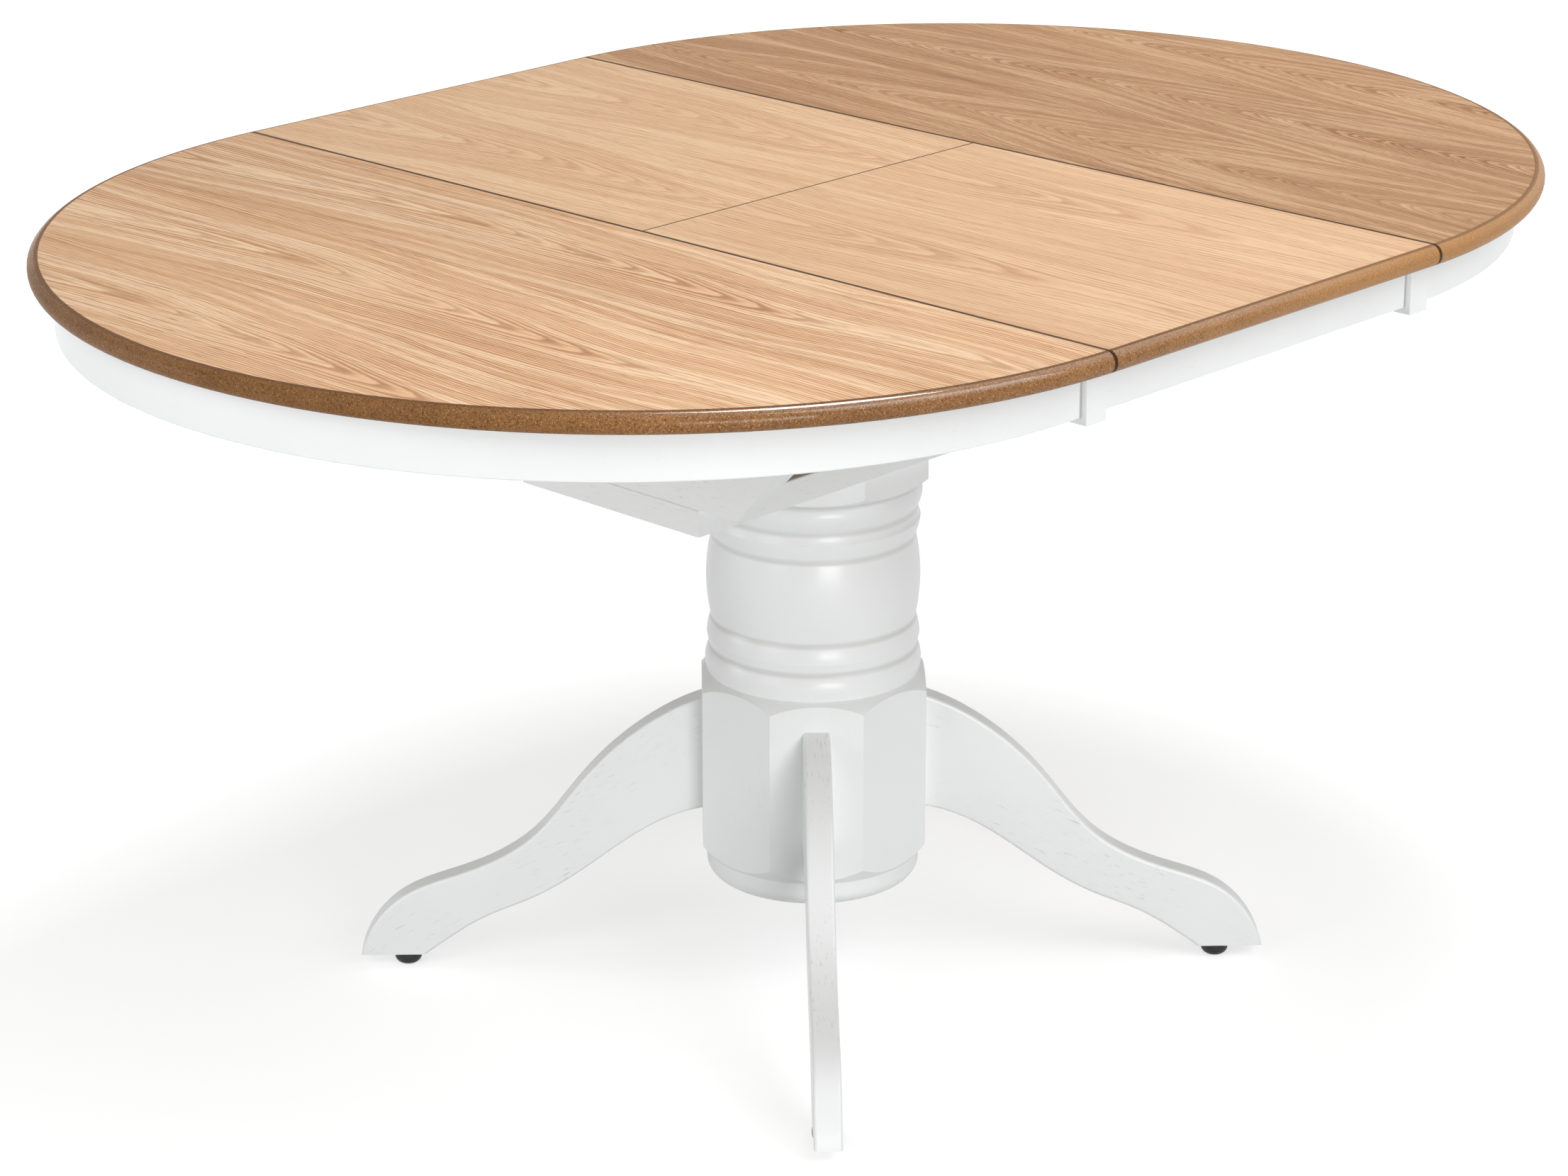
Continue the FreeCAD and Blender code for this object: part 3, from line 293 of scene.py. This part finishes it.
def ring_field(f, x, y, seed, flitch, first, taper, crown, jagged):
    """The place of each point among the growth rings, how jagged it is there, and its flitch's chance."""
    strip = f.math("DIVIDE", f.math("SUBTRACT", x, first), flitch)
    chance, chances = f.random(f.math("ADD", f.math("FLOOR", strip), seed))
    shift_across, shift_along, _ = f.axes(chances)
    across = f.math("MULTIPLY", f.math("SUBTRACT", f.math("FRACT", strip), 0.5), flitch)
    across = f.math("ADD", across, f.span(shift_across, 0, 1, -0.012, 0.012, smooth=False))
    along = f.math("ADD", y, f.span(shift_along, 0, 1, -0.05, 0.05, smooth=False))
    sway = f.noise(f.vector(0.0, along, seed), 2.6, 1.0)
    across = f.math("ADD", across, f.span(sway, 0.2, 0.8, -0.014, 0.014, smooth=False))
    middle = f.math("SQRT", f.math("ADD", f.math("MULTIPLY", across, across), crown * crown))
    ring = f.math("SUBTRACT", middle, f.math("MULTIPLY", along, taper))
    wander = f.noise(f.vector(f.math("MULTIPLY", across, 5.0), along, seed + 5.0), 2.2, 2.0)
    ring = f.math("ADD", ring, f.span(wander, 0.2, 0.8, -0.007, 0.007, smooth=False))
    jag = f.noise(f.vector(f.math("MULTIPLY", across, 4.5), along, seed + 9.0), 17.0, 3.0, 0.6)
    ring = f.math("ADD", ring, f.span(jag, 0.2, 0.8, -jagged, jagged, smooth=False))
    return ring, jag, chance


def ring_bands(f, ring, seed, pitch):
    """A ring starts with a sharp porous line, which fades into smooth wood."""
    growth = f.noise(f.vector(ring, 0.0, seed), 60.0, 1.0)
    grown = f.math("ADD", ring, f.span(growth, 0.2, 0.8, -0.003, 0.003, smooth=False))
    part = f.math("FRACT", f.math("DIVIDE", grown, pitch))
    return f.math("MULTIPLY", f.span(part, 0.0, 0.16), f.span(part, 0.22, 0.80, 1, 0))


def veneer_borders(f, x, y, leaf):
    """The veneer's darker cut borders: the lines along the seams, and the rim at the board's rounded edge."""
    line = seam_line(f, x)
    if leaf:
        line = f.math("MAXIMUM", line, f.span(f.math("ABSOLUTE", y), *LEAF_LINE, 1, 0))
        reach = f.math("ABSOLUTE", y)
    else:
        beyond = f.math("SUBTRACT", f.math("ABSOLUTE", x), ARC_MIDDLE_X)
        reach = f.math("SQRT", f.math("ADD", f.math("MULTIPLY", beyond, beyond), f.math("MULTIPLY", y, y)))
    return line, f.span(reach, VENEER_REACH - RIM_START, VENEER_REACH - RIM_END)


def oak_veneer(name, tones, seed, flitch, first, taper, crown, jagged, pitch,
               lines=1.0, bands=1.0, fade=0.0, leaf=False):
    """Crown-cut oak along Y: flitches side by side across X, each showing the same log.

    Each growth ring shows as a long V on the flitch's middle line, with its tip towards -Y, or towards +Y
    where taper is below 0. The tip is rounded over the width crown, the arms open by the share taper,
    jagged is how uneven the tips are, and pitch is the distance from ring to ring. lines and bands say how
    much the rings and the broader stretches of darker wood show. fade is painted shade and light: how much
    darker the wood is painted at the table's far side, and at its near side it is painted lighter by a third
    of that. flitch is the width of a flitch, and first is where one of them starts. A leaf's veneer ends in
    straight borders, and the others' in an arc.
    """
    light, plain, dark, pore = tones
    f = Finish(name, Specular_IOR_Level=0.04)
    x, y, _ = f.axes()
    ring, jag, chance = ring_field(f, x, y, seed, flitch, first, taper, crown, jagged)
    band = ring_bands(f, ring, seed, pitch)
    # Broad stretches of light and dark wood follow the rings, and end in points as the rings do.
    season = f.noise(f.vector(*f.along((ring, y), (75.0, 1.5)), seed), 1.0, 4.0, 0.62)
    streaked = f.math("ADD", f.math("MULTIPLY", x, 400.0), f.span(jag, 0, 1, -1.2, 1.2, smooth=False))
    streak = f.noise(f.vector(streaked, f.math("MULTIPLY", y, 2.4), seed), 1.0, 4.0, 0.70)
    fibre = f.noise(f.vector(*f.along((x, y), (1300.0, 42.0)), seed + 1.3), 1.0, 2.0, 0.6)
    pores = f.math("MULTIPLY", f.span(fibre, 0.55, 0.66), f.span(band, 0.0, 0.8, 0.25, 1.0, smooth=False))
    cloud = f.noise(f.vector(*f.along((x, y), (12.0, 2.2)), seed + 8.1), 1.0, 2.0)
    colour = f.blend(f.span(season, 0.40, 0.54), light, plain)
    colour = f.blend(f.span(season, 0.56, 0.70, 0.0, 0.70 * bands), colour, dark)
    strength = f.math("MULTIPLY", band, f.span(cloud, 0.30, 0.70, 0.40 * lines, 1.0 * lines))
    strength = f.math("MULTIPLY", strength, f.span(season, 0.36, 0.56, 0.35, 1.0))
    colour = f.blend(strength, colour, dark)
    colour = f.blend(f.span(streak, 0.52, 0.64, 0.0, 0.75 * lines), colour, dark)
    colour = f.blend(f.math("MULTIPLY", pores, 0.5), colour, pore)
    tone = f.math("ADD", f.math("MULTIPLY", chance, 0.5), f.math("MULTIPLY", cloud, 0.5))
    # Painted light and shade: the wood is painted darker towards the far side and lighter towards the near
    # side.
    painted_falloff = f.span(y, -0.5, 0.5, 1 + fade / 3, 1 - fade)
    tone = f.math("MULTIPLY", f.span(tone, 0.1, 0.9, 0.96, 1.04), painted_falloff)
    colour = f.blend(1.0, colour, f.vector(tone, tone, tone), "MULTIPLY")
    line, rim = veneer_borders(f, x, y, leaf)
    colour = f.blend(f.math("MULTIPLY", rim, 0.7), colour, srgb(120, 74, 36))
    colour = f.blend(f.math("MULTIPLY", line, 0.9), colour, BORDER)
    rough = f.span(pores, 0, 1, 0.46, 0.62, smooth=False)
    grain = f.math("SUBTRACT", f.math("MULTIPLY", fibre, 0.3), f.math("MULTIPLY", pores, 0.7))
    return f.done(colour, rough, f.bump(grain, 0.00006, 0.7))


def board_edge(name):
    """Stained fibreboard under lacquer, with fine light and dark specks.

    It is darker at the veneer, the foot and the seams. Light and shade are painted on it along the table,
    lighter in the middle and darker towards both ends, and its lacquer is masked to paint a highlight.
    """
    f = Finish(name, Coat_Roughness=0.05, Coat_IOR=1.7, Specular_IOR_Level=0.1)
    x, _, z = f.axes()
    cloud = f.noise(f.place, 14.0, 3.0, 0.6)
    speck = f.noise(f.place, 900.0, 2.0, 0.7)
    chip = f.noise(f.place, 420.0, 3.0, 0.65)
    colour = f.blend(f.span(cloud, 0.3, 0.7), srgb(132, 88, 48), srgb(152, 106, 62))
    colour = f.blend(f.span(chip, 0.48, 0.64, 0, 0.75), colour, srgb(96, 60, 28))
    colour = f.blend(f.span(speck, 0.55, 0.68, 0, 0.80), colour, srgb(212, 170, 118))
    # Painted light and shade along the table: lighter in the middle, darker towards both ends.
    for start, end, share_at_start, share_at_end, painted_light_colour in EDGE_PAINTED_LIGHT:
        colour = f.blend(f.span(x, start, end, share_at_start, share_at_end), colour, painted_light_colour)
    colour = f.blend(f.span(z, *BOARD_FOOT, 0.6, 0.0), colour, srgb(84, 52, 26))
    colour = f.blend(f.math("MULTIPLY", f.span(z, *BOARD_TOP), 0.5), colour, srgb(84, 50, 24))
    line = seam_line(f, x)
    colour = f.blend(f.math("MULTIPLY", line, 0.9), colour, BORDER)
    # The lacquer's strength is set by place, which paints the highlight on the edge and takes reflections
    # away elsewhere.
    lacquer = f.span(line, 0, 1, 1.0, 0.0, smooth=False)
    places = {"x": x, "z": z}
    for axis, start, end, share_at_start, share_at_end in EDGE_LACQUER_AND_HIGHLIGHT:
        share = f.span(places[axis], start, end, share_at_start, share_at_end)
        lacquer = f.math("MULTIPLY", lacquer, share)
    f.join(lacquer, f.shader.inputs["Coat Weight"])
    rough = f.span(chip, 0.3, 0.7, 0.38, 0.52, smooth=False)
    uneven = f.bump(f.noise(f.place, 60.0, 2.0), 0.0004, 0.35)
    return f.done(colour, rough, f.bump(speck, 0.00005, 0.5, uneven))


def painted_wood(name, grain, pores, shaded_seam=False, grooves=()):
    """Satin white paint on wood. grain is the way the wood runs, and pores how much of it shows through.

    A piece that ends at a seam of the top gets a dark line there, painted shade for the gap at the seam, and
    painted shade darkens the heights of the turned grooves.
    """
    f = Finish(name, Coat_Weight=0.25, Coat_Roughness=0.18, Specular_IOR_Level=0.4)
    run = Vector(grain).normalized()
    side = Vector((0, 0, 1)).cross(run) if abs(run.z) < 0.9 else Vector((1, 0, 0))
    rise = run.cross(side)
    axes = []
    for axis, scale in ((run, 70.0), (side, 850.0), (rise, 850.0)):
        made = f.node("ShaderNodeVectorMath", operation="DOT_PRODUCT")
        f.join(f.place, made.inputs[0])
        made.inputs[1].default_value = axis
        axes.append(f.math("MULTIPLY", made.outputs["Value"], scale))
    fibre = f.noise(f.vector(*axes), 1.0, 3.0, 0.6)
    patch = f.noise(f.place, 7.0, 3.0, 0.55)
    pore = f.math("MULTIPLY", f.span(fibre, 0.60, 0.72), f.span(patch, 0.40, 0.66))
    brushed = f.noise(f.place, 300.0, 2.0, 0.5)
    colour = f.blend(f.span(patch, 0.3, 0.75, 0.0, 0.35), srgb(245, 247, 247), srgb(236, 238, 238))
    colour = f.blend(f.math("MULTIPLY", pore, pores), colour, srgb(176, 176, 172))
    # Painted shade: a dark line at the seam, where the gap between the piece and its neighbour is in shadow.
    if shaded_seam:
        colour = f.blend(f.math("MULTIPLY", seam_line(f, f.axes()[0]), 0.6), colour, srgb(120, 118, 114))
    # Painted shade: darker bands at the heights of the turned grooves, where their shadow falls.
    for height in grooves:
        away = f.math("ABSOLUTE", f.math("SUBTRACT", f.axes()[2], height))
        colour = f.blend(f.span(away, 0.0005, 0.0045, 0.3, 0.0), colour, srgb(160, 160, 154))
    rough = f.span(brushed, 0.3, 0.7, 0.34, 0.46, smooth=False)
    skin = f.bump(brushed, 0.00005, 0.4)
    relief = f.math("SUBTRACT", f.math("MULTIPLY", fibre, 0.25), f.math("MULTIPLY", pore, pores))
    return f.done(colour, rough, f.bump(relief, 0.00012, 0.6, skin))


def bare_beech(name):
    """Sealed beech along X, with short dark flecks."""
    f = Finish(name, Specular_IOR_Level=0.4)
    fleck = f.noise(f.vector(*f.along(f.axes(), (12.0, 260.0, 260.0))), 1.0, 3.0, 0.6)
    cloud = f.noise(f.place, 9.0, 2.0)
    colour = f.blend(f.span(cloud, 0.3, 0.7), srgb(205, 168, 128), srgb(190, 150, 110))
    colour = f.blend(f.span(fleck, 0.5, 0.72, 0, 0.55), colour, srgb(150, 108, 72))
    return f.done(colour, f.span(fleck, 0.3, 0.7, 0.5, 0.62, smooth=False), f.bump(fleck, 0.0001, 0.5))


def plated_steel(name):
    """Zinc-plated steel, with the cells of its plating."""
    f = Finish(name, Metallic=1.0)
    grain = f.cells(f.place, 420.0)
    cloud = f.noise(f.place, 90.0, 3.0, 0.6)
    colour = f.blend(f.span(cloud, 0.3, 0.7), srgb(176, 178, 182), srgb(150, 151, 154))
    colour = f.blend(f.span(grain, 0.2, 0.8, 0, 0.25), colour, srgb(205, 206, 208))
    return f.done(colour, f.span(cloud, 0.3, 0.7, 0.28, 0.48, smooth=False), f.bump(cloud, 0.0001, 0.3))


def plain_brass(name):
    """Brass with slightly cloudy colour and gloss."""
    f = Finish(name, Metallic=1.0)
    cloud = f.noise(f.place, 160.0, 3.0, 0.6)
    colour = f.blend(f.span(cloud, 0.3, 0.7), srgb(206, 172, 104), srgb(176, 140, 78))
    return f.done(colour, f.span(cloud, 0.3, 0.7, 0.25, 0.45, smooth=False), f.bump(cloud, 0.0001, 0.3))


def moulded_plastic(name, light, dark):
    """Moulded plastic between two tones, with a fine matt grain."""
    f = Finish(name, Specular_IOR_Level=0.4)
    cloud = f.noise(f.place, 60.0, 3.0)
    grain = f.noise(f.place, 900.0, 2.0, 0.6)
    colour = f.blend(f.span(cloud, 0.3, 0.7), light, dark)
    return f.done(colour, f.span(grain, 0.3, 0.7, 0.38, 0.55, smooth=False), f.bump(grain, 0.0001, 0.4))


def dress(finish, *names):
    """Gives the named nodes a finish, in place of the one they came with."""
    for name in names:
        mesh = nodes[name].data
        mesh.materials.clear()
        mesh.materials.append(finish)


HANDS = ("left", "right")
PLACES = ("near", "far")
LEG_SLOPE = -28   # degrees: the way a leg's wood runs, down and outwards
LEG_YAWS = {"front": 225, "left": 135, "back": 45, "right": -45}
# The column gets painted shade at the heights of these grooves.
COLUMN_GROOVES = (0.3246, 0.3522, 0.4326, 0.4602, 0.4868)   # heights of the turned grooves

# The tones of each oak: light, plain and dark wood, and pores.
WARM_OAK = (srgb(255, 219, 181), srgb(242, 197, 155), srgb(181, 130, 89), srgb(140, 94, 59))
BROWN_OAK = (srgb(221, 181, 142), srgb(201, 158, 119), srgb(150, 107, 71), srgb(118, 80, 50))
YELLOW_OAK = (srgb(245, 208, 169), srgb(238, 197, 158), srgb(206, 160, 121), srgb(166, 121, 85))


def pairs(stem, ends):
    """The names that a stem makes with each end."""
    return [f"{stem}_{end}" for end in ends]


def dress_top():
    dress(oak_veneer("oak_left", WARM_OAK, seed=2.0, flitch=0.168, first=-0.742, taper=0.045, crown=0.016,
                     jagged=0.0010, pitch=0.0034, lines=0.9, bands=0.55, fade=0.09), "veneer_left")
    dress(oak_veneer("oak_right", BROWN_OAK, seed=11.0, flitch=0.176, first=0.214, taper=-0.150, crown=0.012,
                     jagged=0.0020, pitch=0.0028, fade=-0.05), "veneer_right")
    for place, seed, taper, crown, jagged in (("near", 23.0, 0.030, 0.030, 0.0010),
                                              ("far", 31.0, 0.090, 0.020, 0.0020)):
        dress(oak_veneer(f"oak_leaf_{place}", YELLOW_OAK, seed=seed, flitch=0.218, first=-0.218, taper=taper,
                         crown=crown, jagged=jagged, pitch=0.0040, lines=0.8, bands=0.9, fade=0.05,
                         leaf=True), f"leaf_veneer_{place}")
    dress(board_edge("board_edge"), *pairs("half_top", HANDS), *pairs("leaf_panel", PLACES))


def dress_white_parts():
    dress(painted_wood("paint_along_x", (1, 0, 0), 0.35), *pairs("frame_side", PLACES))
    dress(painted_wood("paint_along_y", (0, 1, 0), 0.35), *pairs("frame_end", HANDS), *pairs("yoke", HANDS))
    dress(painted_wood("paint_upright", (0, 0, 1), 0.12),
          *pairs("apron_end_block", HANDS), *pairs("leaf_end_block", PLACES))
    dress(painted_wood("paint_smooth", (1, 0, 0), 0.12), "pedestal_base_disc")
    dress(painted_wood("paint_apron", (1, 0, 0), 0.12, shaded_seam=True),
          *pairs("apron", HANDS), *pairs("leaf_apron", PLACES))
    dress(painted_wood("paint_column", (0, 0, 1), 0.12, grooves=COLUMN_GROOVES), "pedestal_column")
    for place, yaw in LEG_YAWS.items():
        dress(painted_wood(f"paint_leg_{place}", direction(yaw, LEG_SLOPE), 0.6), f"leg_{place}")


def dress_works():
    dress(bare_beech("beech"), "column_top_block", *pairs("centre_rail", PLACES),
          *pairs("left_rail", PLACES), *pairs("right_rail", PLACES))
    dress(plated_steel("plated_steel"), "pinion_pins", "leaf_pivot_pins", "leaf_pivot_brackets",
          "column_bolts", "leg_hanger_bolts", "glide_nails", *pairs("rail_screws", HANDS),
          *pairs("catch_plate", HANDS), *pairs("catch_lever", HANDS), *pairs("catch_keeper", PLACES))
    dress(plain_brass("brass"), *pairs("hinge_barrels", PLACES))
    dress(moulded_plastic("nylon", srgb(232, 230, 220), srgb(218, 215, 203)), *pairs("pinion", PLACES),
          *pairs("left_rack", PLACES), *pairs("right_rack", PLACES))
    dress(moulded_plastic("black_plastic", srgb(22, 22, 23), srgb(34, 34, 35)), "foot_glides")


make_camera()
make_world()
for lamp in LAMPS:
    make_lamp(*lamp)
make_floor()
dress_top()
dress_white_parts()
dress_works()
